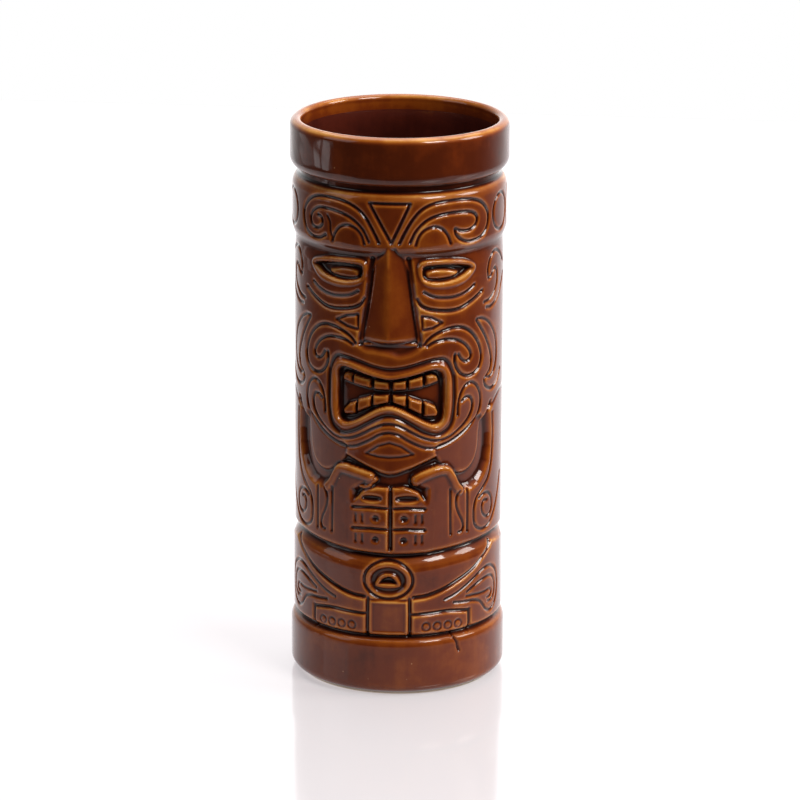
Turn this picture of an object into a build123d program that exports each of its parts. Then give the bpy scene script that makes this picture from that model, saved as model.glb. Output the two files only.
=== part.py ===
from build123d import *
import math
import os

# Tall cylindrical tiki mug in glazed, slip-cast ceramic.
# Frame: millimetres, +Z up, origin at the centre of the foot, face looking along -Y.
# The casting is divided at the lines its carving is laid out on. Every raised
# element stands on one plain tube, so all of them share the same inner radius.

os.makedirs("parts", exist_ok=True)

# ---- driving dimensions ----
HEIGHT = 175.0          # foot to lip
R_RIM = 33.4            # outside of the plain band round the mouth
R_BASE = 33.1           # outside of the plain band round the base
R_LIP_BORE = 29.8       # mouth, inside the lip
LIP = (R_RIM - R_LIP_BORE) / 2  # the lip is a full round
R_CORE = 29.2           # clay wall, inside
R_CUP = 28.8            # inside of the liner glaze
R_GROUND = 30.5         # ground that the carving stands on
R_FACE = 31.9           # general level of the face and limbs
R_BROW = 32.7           # level of the forehead band
R_NOSE = 33.4           # ridge of the nose
R_TORSO = 31.3          # level of the chest panel
R_BLOCK = 32.0          # level of the chest blocks
R_TEETH = 31.5          # level of the teeth
R_LIPS = 32.7           # crest of the lips
R_BELLY = 32.3          # crest of the belly

Z_FOOT = 1.0            # height of the bare foot ring
Z_FLOOR = 6.0           # inside of the clay floor
Z_BASE_TOP = 18.0       # top of the base band
Z_LEGS = 43.5           # top of the thighs at the sides and back
Z_WAIST = 46.5          # lower edge of the torso
Z_CHEST = 66.0          # top of the chest blocks
Z_JAW = 92.5            # lower edge of the head at the sides and back
Z_BROW = 141.0          # lower edge of the forehead band
Z_GROOVE = 157.4        # top of the forehead band
Z_RIM = 159.7           # lower edge of the rim band

CRACK_AT = 37.0         # angle of the carved split in the base band


def x_at(degrees, radius=R_FACE):
    """Sideways distance from the centre plane of a point at this angle round the mug."""
    return radius * math.sin(math.radians(degrees))


def flat(points, radius=R_FACE):
    """(angle, height) pairs as (x, z) pairs seen square from the front."""
    return [(x_at(a, radius), z) for a, z in points]


def mirrored(points):
    return [(-a, z) for a, z in points][::-1]


def save(part, name):
    part.label = name
    export_step(part, f"parts/{name}.step")


# outlines on the front, as (angle in degrees from the centre of the face, height)
JAW = [(-88, 92.5), (-74, 90.4), (-61, 86.8), (-40, 80.2), (-20, 75.4), (0, 71.4),
       (20, 75.4), (40, 80.2), (61, 86.8), (74, 90.4), (88, 92.5)]
NOSE_BASE = [(-15.5, 112), (15.5, 112), (6.5, 138), (-6.5, 138)]
NOSE_RIDGE = [(-5.5, 112.8), (5.5, 112.8), (1.4, 137.5), (-1.4, 137.5)]
EYE = [(17, 134.8), (17, 130.6), (23, 128.0), (33, 128.2), (40, 130.0), (46.5, 134.8)]
MOUTH = [(-32, 101.5), (-27, 104.5), (-14, 103.5), (0, 101.5), (14, 103.5),
         (27, 104.5), (32, 101.5), (33.5, 88), (29, 85), (22, 86.5),
         (0, 92.0), (-22, 86.5), (-29, 85), (-33.5, 88)]
GAPE = [(-27.5, 100.5), (-24, 102.3), (-13, 101.2), (0, 99.4), (13, 101.2),
        (24, 102.3), (27.5, 100.5), (28.8, 89.5), (26, 87.6), (21, 89.2),
        (0, 94.2), (-21, 89.2), (-26, 87.6), (-28.8, 89.5)]
UPPER_ROW = [(-24.5, 100.2), (-12, 99.4), (0, 98.6), (12, 99.4), (24.5, 100.2),
             (25.0, 98.0), (12, 96.4), (0, 95.8), (-12, 96.4), (-25.0, 98.0)]
LOWER_ROW = [(-25, 93.0), (-13, 94.8), (0, 95.4), (13, 94.8), (25, 93.0),
             (26, 90.4), (21, 90.4), (0, 94.6), (-21, 90.4), (-26, 90.4)]
ARM = [(8, 66.5), (13, 69.5), (28, 70.5), (37, 66.0), (46, 66.0), (56, 71.0),
       (57.5, 80), (58.5, 84.2), (68, 87.2), (80, 90.2), (80, 47.5), (36, 47.5), (33, 66.0), (20, 66.5)]
CHEST = [(-31, 47.5), (31, 47.5), (31, 65.5), (-31, 65.5)]
BELLY = [(-62, 46.0), (-30, 45.4), (0, 45.0), (30, 45.4), (62, 46.0),
         (40, 39.5), (20, 32.5), (0, 30.2), (-20, 32.5), (-40, 39.5)]
LEG = [(12.5, 25.8), (12.5, 29.6), (24, 32.6), (42, 39.2), (60, 43.5), (80, 43.5),
       (80, 19.0), (47, 19.0), (46, 25.0)]
SOLE = [(13.0, 19.2), (45.0, 19.2), (45.0, 25.2), (13.0, 24.8)]
FLAP = [(-8.5, 19.4), (8.5, 19.4), (8.5, 29.4), (-8.5, 29.4)]


# ---- the plain turned parts of the casting ----
with BuildPart() as foot_ring:
    # bare clay, wiped clean of glaze, on which the mug stands
    with BuildSketch(Plane.XY):
        Circle(30.4)
        Circle(25.4, mode=Mode.SUBTRACT)
    extrude(amount=Z_FOOT)
    chamfer(foot_ring.edges().group_by(Axis.Z)[0].filter_by(GeomType.CIRCLE), 0.35)
save(foot_ring.part, "foot_ring")

with BuildPart() as cup_floor:
    with BuildSketch(Plane.XY.offset(Z_FOOT)):
        Circle(R_CORE)
    extrude(amount=Z_FLOOR - Z_FOOT)
save(cup_floor.part, "cup_floor")

with BuildPart() as base_band:
    with BuildSketch(Plane.XY.offset(Z_FOOT)):
        Circle(R_BASE)
        Circle(R_CORE, mode=Mode.SUBTRACT)
    extrude(amount=Z_BASE_TOP - Z_FOOT)
    fillet(base_band.edges().group_by(Axis.Z)[-1].sort_by(SortBy.RADIUS)[-1], 1.6)
    fillet(base_band.edges().group_by(Axis.Z)[0].sort_by(SortBy.RADIUS)[-1], 2.4)
    # a carved split, like a check in a log, running down from the top edge
    with BuildSketch(Plane.XZ.offset(26.0)):
        with Locations((x_at(CRACK_AT, R_BASE), Z_BASE_TOP - 2.0)):
            Rectangle(0.9, 5.0)
    extrude(amount=1.2, mode=Mode.SUBTRACT)
save(base_band.part, "base_band")

with BuildPart() as cup_wall:
    with BuildSketch(Plane.XY.offset(Z_BASE_TOP)):
        Circle(R_GROUND)
        Circle(R_CORE, mode=Mode.SUBTRACT)
    extrude(amount=Z_RIM - Z_BASE_TOP)
save(cup_wall.part, "cup_wall")

with BuildPart() as rim_band:
    with BuildSketch(Plane.XZ):
        with BuildLine():
            Polyline([(R_CORE, Z_RIM), (R_RIM - 2.6, Z_RIM)])
            TangentArc((R_RIM - 2.6, Z_RIM), (R_RIM, Z_RIM + 2.6), tangent=(1, 0))
            Line((R_RIM, Z_RIM + 2.6), (R_RIM, HEIGHT - LIP))
            TangentArc((R_RIM, HEIGHT - LIP), (R_RIM - LIP, HEIGHT), tangent=(0, 1))
            TangentArc((R_RIM - LIP, HEIGHT), (R_LIP_BORE, HEIGHT - LIP), tangent=(-1, 0))
            Line((R_LIP_BORE, HEIGHT - LIP), (R_LIP_BORE, HEIGHT - 4.2))
            Line((R_LIP_BORE, HEIGHT - 4.2), (R_CORE, HEIGHT - 7.0))
            Line((R_CORE, HEIGHT - 7.0), (R_CORE, Z_RIM))
        make_face()
    revolve(axis=Axis.Z)
save(rim_band.part, "rim_band")

with BuildPart() as liner_glaze:
    # glossy glaze poured inside: one thin coat over the wall and the floor
    with BuildSketch(Plane.XY.offset(Z_FLOOR)):
        Circle(R_CORE)
    extrude(amount=HEIGHT - 8.0 - Z_FLOOR)
    with BuildSketch(Plane.XY.offset(Z_FLOOR + 0.5)):
        Circle(R_CUP)
    extrude(amount=HEIGHT, mode=Mode.SUBTRACT)
save(liner_glaze.part, "liner_glaze")

# ---- raised bands and shells that run round the mug ----
with BuildPart() as forehead_band:
    with BuildSketch(Plane.XY.offset(Z_BROW)):
        Circle(R_BROW)
        Circle(R_GROUND, mode=Mode.SUBTRACT)
    extrude(amount=Z_GROOVE - Z_BROW)
    fillet(forehead_band.edges().group_by(Axis.Z)[-1].sort_by(SortBy.RADIUS)[-1], 0.8)
    fillet(forehead_band.edges().group_by(Axis.Z)[0].sort_by(SortBy.RADIUS)[-1], 0.8)
    # the V between the brows, let into the band
    with BuildSketch(Plane.XZ.offset(31.9)):
        Polygon(*flat([(-9.5, 154.4), (9.5, 154.4), (0, 142.6)]), align=None)
        Polygon(*flat([(-7.2, 153.2), (7.2, 153.2), (0, 145.0)]), align=None,
                mode=Mode.SUBTRACT)
    extrude(amount=5.0, mode=Mode.SUBTRACT)
save(forehead_band.part, "forehead_band")

with BuildPart() as face_plate:
    # front of the head from the brow to the jaw line, open at the eyes and the mouth
    with BuildSketch(Plane.XY.offset(60.0)):
        Circle(R_FACE)
        Circle(R_GROUND, mode=Mode.SUBTRACT)
        Rectangle(80, 80, align=(Align.CENTER, Align.MIN), mode=Mode.SUBTRACT)
    extrude(amount=Z_BROW - 60.0)
    with BuildSketch(Plane.XZ):
        Polygon(*[(-40, 50), (-40, 92.5)], *flat(JAW), *[(40, 92.5), (40, 50)], align=None)
    extrude(amount=40.0, mode=Mode.SUBTRACT)
    with BuildSketch(Plane.XZ):
        Polygon(*flat(EYE), align=None)
        Polygon(*flat(mirrored(EYE)), align=None)
        Polygon(*flat(MOUTH), align=None)
    extrude(amount=40.0, mode=Mode.SUBTRACT)
save(face_plate.part, "face_plate")

with BuildPart() as back_of_head:
    with BuildSketch(Plane.XY.offset(Z_JAW)):
        Circle(R_FACE)
        Circle(R_GROUND, mode=Mode.SUBTRACT)
        Rectangle(80, 80, align=(Align.CENTER, Align.MAX), mode=Mode.SUBTRACT)
    extrude(amount=Z_BROW - Z_JAW)
save(back_of_head.part, "back_of_head")

with BuildPart() as back:
    # shoulders and back, behind the arms
    with BuildSketch(Plane.XY.offset(Z_WAIST + 1.0)):
        Circle(R_TORSO)
        Circle(R_GROUND, mode=Mode.SUBTRACT)
        Rectangle(80, 80, align=(Align.CENTER, Align.MAX), mode=Mode.SUBTRACT)
    extrude(amount=Z_JAW - 1.0 - Z_WAIST - 1.0)
save(back.part, "back")

with BuildPart() as hips:
    # seat and the backs of the thighs
    with BuildSketch(Plane.XY.offset(Z_BASE_TOP + 1.0)):
        Circle(R_FACE)
        Circle(R_GROUND, mode=Mode.SUBTRACT)
        Rectangle(80, 80, align=(Align.CENTER, Align.MAX), mode=Mode.SUBTRACT)
    extrude(amount=Z_LEGS - Z_BASE_TOP - 1.0)
save(hips.part, "hips")

# ---- the face ----
with BuildPart() as nose:
    with BuildSketch(Plane.XZ.offset(30.0)):
        Polygon(*flat(NOSE_BASE), align=None)
    with BuildSketch(Plane.XZ.offset(R_NOSE)):
        Polygon(*flat(NOSE_RIDGE), align=None)
    loft()
    with BuildSketch(Plane.XY.offset(100.0)):
        Circle(R_FACE)
    extrude(amount=50.0, mode=Mode.SUBTRACT)
save(nose.part, "nose")

with BuildPart() as eye_right:
    with BuildSketch(Plane.XZ):
        Polygon(*flat([(20, 133.6), (20, 131.4), (25, 129.6), (33, 129.8), (38.5, 131.2), (42.5, 133.6)]), align=None)
    extrude(amount=40.0)
    with BuildSketch(Plane.XY.offset(120.0)):
        Circle(31.1)
        Circle(R_GROUND, mode=Mode.SUBTRACT)
    extrude(amount=20.0, mode=Mode.INTERSECT)
save(eye_right.part, "eye_right")
save(mirror(eye_right.part, about=Plane.YZ), "eye_left")

with BuildPart() as mouth_lips:
    with BuildSketch(Plane.XZ):
        Polygon(*flat(MOUTH), align=None)
        Polygon(*flat(GAPE), align=None, mode=Mode.SUBTRACT)
    extrude(amount=40.0)
    with BuildSketch(Plane.XY.offset(80.0)):
        Circle(R_LIPS)
        Circle(R_GROUND, mode=Mode.SUBTRACT)
    extrude(amount=30.0, mode=Mode.INTERSECT)
save(mouth_lips.part, "mouth_lips")

with BuildPart() as upper_teeth:
    with BuildSketch(Plane.XZ):
        Polygon(*flat(UPPER_ROW), align=None)
        with Locations(*[(x_at(a), 98.0) for a in (-17.5, -9.0, 0, 9.0, 17.5)]):
            Rectangle(0.7, 8.0, mode=Mode.SUBTRACT)
    extrude(amount=40.0)
    with BuildSketch(Plane.XY.offset(80.0)):
        Circle(R_TEETH)
        Circle(R_GROUND, mode=Mode.SUBTRACT)
    extrude(amount=30.0, mode=Mode.INTERSECT)
save(upper_teeth.part, "upper_teeth")

with BuildPart() as lower_teeth:
    with BuildSketch(Plane.XZ):
        Polygon(*flat(LOWER_ROW), align=None)
        with Locations(*[(x_at(a), 93.0) for a in (-18.5, -9.5, 0, 9.5, 18.5)]):
            Rectangle(0.7, 8.0, mode=Mode.SUBTRACT)
    extrude(amount=40.0)
    with BuildSketch(Plane.XY.offset(80.0)):
        Circle(R_TEETH)
        Circle(R_GROUND, mode=Mode.SUBTRACT)
    extrude(amount=30.0, mode=Mode.INTERSECT)
save(lower_teeth.part, "lower_teeth")

# ---- torso, arms and hands ----
with BuildPart() as chest:
    with BuildSketch(Plane.XZ):
        Polygon(*flat(CHEST), align=None)
    extrude(amount=40.0)
    with BuildSketch(Plane.XY.offset(40.0)):
        Circle(R_TORSO)
        Circle(R_GROUND, mode=Mode.SUBTRACT)
    extrude(amount=30.0, mode=Mode.INTERSECT)
save(chest.part, "chest")

with BuildPart() as chest_blocks:
    # six carved blocks in two columns
    with BuildSketch(Plane.XZ):
        with Locations(*[(x_at(a), z) for a in (-9.5, 9.5) for z in (62.6, 56.4, 50.4)]):
            Rectangle(8.6, 4.4)
    extrude(amount=40.0)
    with BuildSketch(Plane.XY.offset(40.0)):
        Circle(R_BLOCK)
        Circle(R_TORSO, mode=Mode.SUBTRACT)
    extrude(amount=30.0, mode=Mode.INTERSECT)
save(chest_blocks.part, "chest_blocks")

with BuildPart() as arm_right:
    with BuildSketch(Plane.XZ):
        Polygon(*flat(ARM), align=None)
    extrude(amount=40.0)
    with BuildSketch(Plane.XY.offset(40.0)):
        Circle(R_FACE)
        Circle(R_GROUND, mode=Mode.SUBTRACT)
    extrude(amount=50.0, mode=Mode.INTERSECT)
    # clear of the jaw and of the chest panel
    with BuildSketch(Plane.XZ):
        Polygon(*flat([(-31, 40), (31, 40), (31, 65.5), (-31, 65.5)]), align=None)
        Polygon(*[(-40, 100), (-40, 84)], *flat(JAW), *[(40, 84), (40, 100)], align=None)
    extrude(amount=40.0, mode=Mode.SUBTRACT)
save(arm_right.part, "arm_right")
save(mirror(arm_right.part, about=Plane.YZ), "arm_left")

# ---- belly, legs and feet ----
with BuildPart() as belly_ring:
    with BuildSketch(Plane.XZ):
        with Locations((0, 36.4)):
            Circle(6.9)
            Circle(4.6, mode=Mode.SUBTRACT)
            Circle(2.6)
    extrude(amount=40.0)
    with BuildSketch(Plane.XY.offset(25.0)):
        Circle(R_BROW)
        Circle(R_GROUND, mode=Mode.SUBTRACT)
    extrude(amount=25.0, mode=Mode.INTERSECT)
save(belly_ring.part, "belly_ring")

with BuildPart() as belly:
    with BuildSketch(Plane.XZ):
        Polygon(*flat(BELLY), align=None)
        with Locations((0, 36.4)):
            Circle(6.9, mode=Mode.SUBTRACT)
    extrude(amount=40.0)
    with BuildSketch(Plane.XY.offset(25.0)):
        Circle(R_BELLY)
        Circle(R_GROUND, mode=Mode.SUBTRACT)
    extrude(amount=25.0, mode=Mode.INTERSECT)
save(belly.part, "belly")

with BuildPart() as loin_flap:
    with BuildSketch(Plane.XZ):
        Polygon(*flat(FLAP), align=None)
    extrude(amount=40.0)
    with BuildSketch(Plane.XY.offset(15.0)):
        Circle(R_FACE - 0.2)
        Circle(R_GROUND, mode=Mode.SUBTRACT)
    extrude(amount=20.0, mode=Mode.INTERSECT)
    with BuildSketch(Plane.XZ):
        Polygon(*flat(BELLY), align=None)
        with Locations((0, 36.4)):
            Circle(6.9)
    extrude(amount=40.0, mode=Mode.SUBTRACT)
save(loin_flap.part, "loin_flap")

with BuildPart() as leg_right:
    with BuildSketch(Plane.XZ):
        Polygon(*flat(LEG), align=None)
    extrude(amount=40.0)
    with BuildSketch(Plane.XY.offset(15.0)):
        Circle(R_FACE)
        Circle(R_GROUND, mode=Mode.SUBTRACT)
    extrude(amount=40.0, mode=Mode.INTERSECT)
    with BuildSketch(Plane.XZ):
        Polygon(*flat(BELLY), align=None)
        Polygon(*flat(SOLE), align=None)
        with Locations((0, 36.4)):
            Circle(6.9)
    extrude(amount=40.0, mode=Mode.SUBTRACT)
save(leg_right.part, "leg_right")
save(mirror(leg_right.part, about=Plane.YZ), "leg_left")

with BuildPart() as foot_right:
    with BuildSketch(Plane.XZ):
        Polygon(*flat(SOLE), align=None)
    extrude(amount=40.0)
    with BuildSketch(Plane.XY.offset(15.0)):
        Circle(R_BROW)
        Circle(R_GROUND, mode=Mode.SUBTRACT)
    extrude(amount=40.0, mode=Mode.INTERSECT)
    # a row of four toe hollows
    with BuildSketch(Plane.XZ.offset(20.0)):
        with Locations(*[(x_at(a), 21.8) for a in (18.5, 25.0, 31.5, 38.5)]):
            Circle(0.9)
    extrude(amount=7.0, mode=Mode.SUBTRACT)
save(foot_right.part, "foot_right")
save(mirror(foot_right.part, about=Plane.YZ), "foot_left")
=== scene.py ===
import math
import bpy
import numpy as np
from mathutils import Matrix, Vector


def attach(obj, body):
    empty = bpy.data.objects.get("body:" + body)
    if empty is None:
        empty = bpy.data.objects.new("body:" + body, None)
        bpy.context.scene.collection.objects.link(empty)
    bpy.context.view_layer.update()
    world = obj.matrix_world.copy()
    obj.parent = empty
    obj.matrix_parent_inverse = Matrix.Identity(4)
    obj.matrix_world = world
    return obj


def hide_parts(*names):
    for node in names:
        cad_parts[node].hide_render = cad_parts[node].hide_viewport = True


# Tall ceramic tiki mug. The carved wall is one relief, worked out in millimetres as
# a radius for every (angle, height), then cut into the named elements of the figure.
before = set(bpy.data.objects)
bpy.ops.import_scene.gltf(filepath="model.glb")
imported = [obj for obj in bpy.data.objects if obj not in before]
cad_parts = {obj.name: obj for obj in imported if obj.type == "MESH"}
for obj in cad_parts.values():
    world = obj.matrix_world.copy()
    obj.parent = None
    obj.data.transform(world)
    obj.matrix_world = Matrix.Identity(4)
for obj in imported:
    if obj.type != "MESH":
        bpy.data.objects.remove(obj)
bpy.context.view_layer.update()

MM = 0.001
DEG = math.pi / 180.0
SCALE = 33.2 * DEG            # millimetres along the wall for one degree

# ---------------------------------------------------------------- camera
CAM_DIST, CAM_AZ, CAM_EL = 1300.0, 6.0, 16.15     # from the middle of the mug
PAN, TILT, ROLL, LENS = 0.0213, 0.0927, 0.0050, 189.65


def make_camera():
    a, e = CAM_AZ * DEG, CAM_EL * DEG
    pos = (Vector((math.sin(a) * math.cos(e), -math.cos(a) * math.cos(e), math.sin(e))) * CAM_DIST
           + Vector((0, 0, 87.5))) * MM
    a, e = (CAM_AZ - PAN) * DEG, (CAM_EL + TILT) * DEG
    level = Vector((-math.sin(a), math.cos(a), 0.0))
    ahead = level * math.cos(e) + Vector((0, 0, -math.sin(e)))
    right = ahead.cross(Vector((0, 0, 1))).normalized()
    up = right.cross(ahead)
    r2 = right * math.cos(ROLL) + up * math.sin(ROLL)
    u2 = up * math.cos(ROLL) - right * math.sin(ROLL)
    data = bpy.data.cameras.new("camera")
    data.sensor_fit = "HORIZONTAL"
    data.sensor_width = 36.0
    data.lens = LENS
    data.clip_start = 0.05
    data.clip_end = 60.0
    cam = bpy.data.objects.new("camera", data)
    bpy.context.scene.collection.objects.link(cam)
    m = cam.matrix_world.copy()
    for i in range(3):
        m[i][0], m[i][1], m[i][2], m[i][3] = r2[i], u2[i], -ahead[i], pos[i]
    cam.matrix_world = m
    bpy.context.scene.camera = cam


make_camera()

# ---------------------------------------------------------------- relief tools
STEP = 0.5                    # degrees
DZ = 0.3                      # millimetres
NT = int(round(360 / STEP))
Z0, Z1 = 1.0, 160.0
NZ = int(round((Z1 - Z0) / DZ)) + 1
TH = -180.0 + STEP * np.arange(NT)
ZZ = np.linspace(Z0, Z1, NZ)
H = np.full((NZ, NT), 33.0)   # radius at every point
G = np.zeros((NZ, NT))        # depth of the cut lines


def placed(points):
    """Lines are laid out on a wall that is seen a little from above; this puts them at their
    true angles and heights on the round wall. The back follows the front, mirrored."""
    p = np.array(points, float)
    a, z = p[:, 0], p[:, 1]
    far = np.abs(a) > 90
    m = np.where(far, np.sign(a) * 180 - a, a)
    q = np.clip(m, -62, 62)
    s, w = np.sin((q - 6) * DEG), z / 100
    da = (0.89 + 1.0 * s + 0.612 * s ** 2 + 2.807 * s ** 3 + 0.669 * s ** 4
          + w * (-0.041 - 0.203 * s - 0.025 * s ** 2 - 0.719 * s ** 3))
    dz = (0.802 - 0.183 * s - 0.987 * s ** 2 - 0.193 * s ** 3 - 0.911 * s ** 4
          + w * (0.05 + 0.07 * s + 0.349 * s ** 2 - 0.01 * s ** 3))
    da *= np.clip((90 - np.abs(m)) / 28, 0, 1)
    m = m + da
    return np.stack([np.where(far, np.sign(a) * 180 - m, m), z + dz], 1)


def smooth(points, closed=False, n=8):
    """A Catmull-Rom line through (angle, height) points."""
    p = np.array(points, float)
    if closed:
        p = np.vstack([p[-1], p, p[0], p[1]])
    else:
        p = np.vstack([2 * p[0] - p[1], p, 2 * p[-1] - p[-2]])
    t = np.linspace(0, 1, n, endpoint=False)[:, None]
    out = []
    for a, b, c, d in zip(p[:-3], p[1:-2], p[2:-1], p[3:]):
        out.append(0.5 * (2 * b + (c - a) * t + (2 * a - 5 * b + 4 * c - d) * t * t
                          + (3 * b - a - 3 * c + d) * t ** 3))
    out = np.vstack(out + ([p[1:2]] if closed else [p[-2:-1]]))
    return out


def window(line, margin):
    """Rows and columns of the grid near a line, with their places in mm along the wall."""
    t0, t1 = line[:, 0].min() - margin / SCALE, line[:, 0].max() + margin / SCALE
    z0, z1 = line[:, 1].min() - margin, line[:, 1].max() + margin
    i0 = max(0, int(math.floor((z0 - Z0) / DZ)))
    i1 = min(NZ, int(math.ceil((z1 - Z0) / DZ)) + 1)
    j0 = int(math.floor((t0 + 180) / STEP))
    j1 = int(math.ceil((t1 + 180) / STEP)) + 1
    if i1 <= i0:
        return None
    jj = np.arange(j0, j1)
    if len(jj) > NT:
        jj = jj[:NT]
    s = (-180 + STEP * jj) * SCALE
    S, Z = np.meshgrid(s, ZZ[i0:i1])
    return slice(i0, i1), jj % NT, S, Z


def distance(line, S, Z):
    """Distance in mm from grid places to a line given as (angle, height)."""
    p = np.stack([line[:, 0] * SCALE, line[:, 1]], 1)
    best = np.full(S.shape, 1e9)
    for (ax, ay), (bx, by) in zip(p[:-1], p[1:]):
        dx, dy = bx - ax, by - ay
        q = max(dx * dx + dy * dy, 1e-12)
        u = np.clip(((S - ax) * dx + (Z - ay) * dy) / q, 0, 1)
        np.minimum(best, (S - ax - u * dx) ** 2 + (Z - ay - u * dy) ** 2, out=best)
    return np.sqrt(best)


def inside(line, S, Z):
    p = np.stack([line[:, 0] * SCALE, line[:, 1]], 1)
    hit = np.zeros(S.shape, bool)
    for (ax, ay), (bx, by) in zip(p, np.roll(p, -1, 0)):
        if ay == by:
            continue
        cross = (ay > Z) != (by > Z)
        hit ^= cross & (S < (bx - ax) * (Z - ay) / (by - ay) + ax)
    return hit


def step_up(x):
    x = np.clip(x, 0, 1)
    return x * x * (3 - 2 * x)


def cut(points, w=1.5, d=0.85, closed=False, straight=False):
    """A cut line of this full width and depth."""
    w, d = w * 0.80, d * 0.82
    points = [tuple(p) for p in placed(points)]
    line = np.array(points + ([points[0]] if closed else []), float) if straight \
        else smooth(points, closed)
    win = window(line, w)
    if win is None:
        return
    r, c, S, Z = win
    u = distance(line, S, Z) / (w / 2)
    f = np.clip(1 - u * u, 0, 1) ** 1.5 * d
    ix = np.ix_(range(*r.indices(NZ)), c)
    G[ix] = np.maximum(G[ix], f)


def level(points, radius, soft=0.8, straight=False, grow=0.0):
    """Sets the radius inside a closed outline, with soft edges. radius may be a function."""
    points = placed(points)
    line = np.array(points, float) if straight else smooth(points, True)
    line = np.vstack([line, line[:1]])
    win = window(line, soft + abs(grow) + 0.5)
    r, c, S, Z = win
    sd = distance(line, S, Z)
    sd = np.where(inside(line[:-1], S, Z), sd, -sd) + grow
    m = step_up(sd / soft + 0.5)
    ix = np.ix_(range(*r.indices(NZ)), c)
    target = radius(S / SCALE, Z) if callable(radius) else radius
    H[ix] = H[ix] * (1 - m) + target * m


def crest(points, w, top, drop=1.2, closed=False, power=2.0):
    """A rounded ridge along a line: radius top on the line, falling by drop at w/2.
    A higher power gives a flatter top with rounder edges."""
    points = placed(points)
    line = smooth(points, closed)
    r, c, S, Z = window(line, w)
    u = distance(line, S, Z) / (w / 2)
    f = np.where(u < 1, top - drop * u ** power, -1e9)
    ix = np.ix_(range(*r.indices(NZ)), c)
    H[ix] = np.maximum(H[ix], f)


def dot(a, z, rx, rz, radius):
    """Outline points of a small round hollow or boss, in mm; radius is not used."""
    ang = np.linspace(0, 2 * math.pi, 20, endpoint=False)
    return [(a + rx * math.cos(k) / SCALE, z + rz * math.sin(k)) for k in ang]


def ring(a, z, rx, rz, n=24):
    ang = np.linspace(0, 2 * math.pi, n, endpoint=False)
    return [(a + rx * math.cos(k) / SCALE, z + rz * math.sin(k)) for k in ang]


def left(points, shift=0.6):
    return [(-a + shift, z) for a, z in points]


def behind(points):
    """The same line on the back, as seen in a mirror that stands across the side."""
    return [(180 - a, z) for a, z in points]


def curve_at(points, a):
    p = np.array(points, float)
    return np.interp(a, p[:, 0], p[:, 1])


def blur(A, mm):
    """Gaussian blur of a grid, right round the mug and mirrored at its ends."""
    pad = int(6 * mm / DZ) + 2
    B = np.vstack([A[pad:0:-1], A, A[-2:-pad - 2:-1]])
    fz = np.fft.fftfreq(B.shape[0], DZ)
    ft = np.fft.rfftfreq(B.shape[1], STEP * SCALE)
    k = np.exp(-2 * (math.pi * mm) ** 2 * (fz[:, None] ** 2 + ft[None, :] ** 2))
    B = np.fft.irfft2(np.fft.rfft2(B) * k, s=B.shape)
    return B[pad:pad + A.shape[0]]


T2, Z2 = np.meshgrid(TH, ZZ)
AT = np.abs(T2)

# ---------------------------------------------------------------- levels round the mug
JAW = [(-180, 93.5), (-90, 93.5), (-78, 92.8), (-70, 90.6), (-60, 86.9), (-50, 83.1), (-40, 80.0),
       (-30, 77.4), (-20, 74.8), (-10, 72.4), (0, 70.6), (10, 72.1), (20, 74.4),
       (30, 76.8), (40, 79.5), (50, 82.8), (60, 87.0), (70, 90.8), (78, 92.8), (90, 93.5), (180, 93.5)]
WAIST = [(-180, 49.5), (-75, 49.5), (-60, 48.9), (-45, 47.9), (-30, 46.8), (-15, 45.9), (0, 45.3),
         (15, 45.6), (30, 46.5), (45, 47.5), (60, 48.4), (75, 49.0), (180, 49.5)]
JAW = [(-180, 92.2), (-95, 92.2)] + [tuple(p) for p in placed(JAW[2:-2])] + [(95, 92.2), (180, 92.2)]
WAIST = [(-180, 48.2), (-100, 48.2)] + [tuple(p) for p in placed(WAIST[2:-2])] + [(100, 48.2), (180, 48.2)]
jaw = np.interp(TH, *zip(*JAW))[None, :]
waist = np.interp(TH, *zip(*WAIST))[None, :]
# soften the kinks of the two lines
for arr in (jaw, waist):
    k = np.exp(-0.5 * (np.arange(-12, 13) / 5.0) ** 2)
    k /= k.sum()
    arr[0] = np.convolve(np.concatenate([arr[0][-12:], arr[0], arr[0][:12]]), k, "valid")
jaw_z = np.broadcast_to(jaw, H.shape)
waist_z = np.broadcast_to(waist, H.shape)


def up(z, at, soft):
    return step_up((z - at) / soft + 0.5)


Z_BASE, Z_BROW, Z_TOP = 18.5, 140.6, 157.8
# head
H[:] = 33.0
# chin and jaw draw in a little towards the bottom
H -= 0.25 * step_up((jaw_z + 13 - Z2) / 13) * (1 - step_up((AT - 50) / 30))
# recess under the brow, strongest over the eyes
under = (1 - step_up((AT - 40) / 26))
prof = np.interp(Z2, [130.6, 134.6, 136.6, 138.0, 139.6, 141.0], [0.0, -0.45, -0.9, -1.15, -0.8, 0.0])
H += prof * (0.25 + 0.75 * under)
# forehead band
H = H * (1 - up(Z2, Z_BROW + 0.1, 3.9)) + 33.75 * up(Z2, Z_BROW + 0.1, 3.9)
# below the jaw: shoulders and arms
below = up(jaw_z, Z2 + 0.9, 1.9)
H = H * (1 - below) + 32.1 * below
# groove under the rim band, with the rounded upper edge of the forehead
top = np.clip((Z2 - 155.0) / 3.0, 0, 1)
H -= np.where(Z2 > 155.0, 2.2 * (1 - np.sqrt(1 - np.minimum(top, 0.9999) ** 2)), 0)

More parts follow.
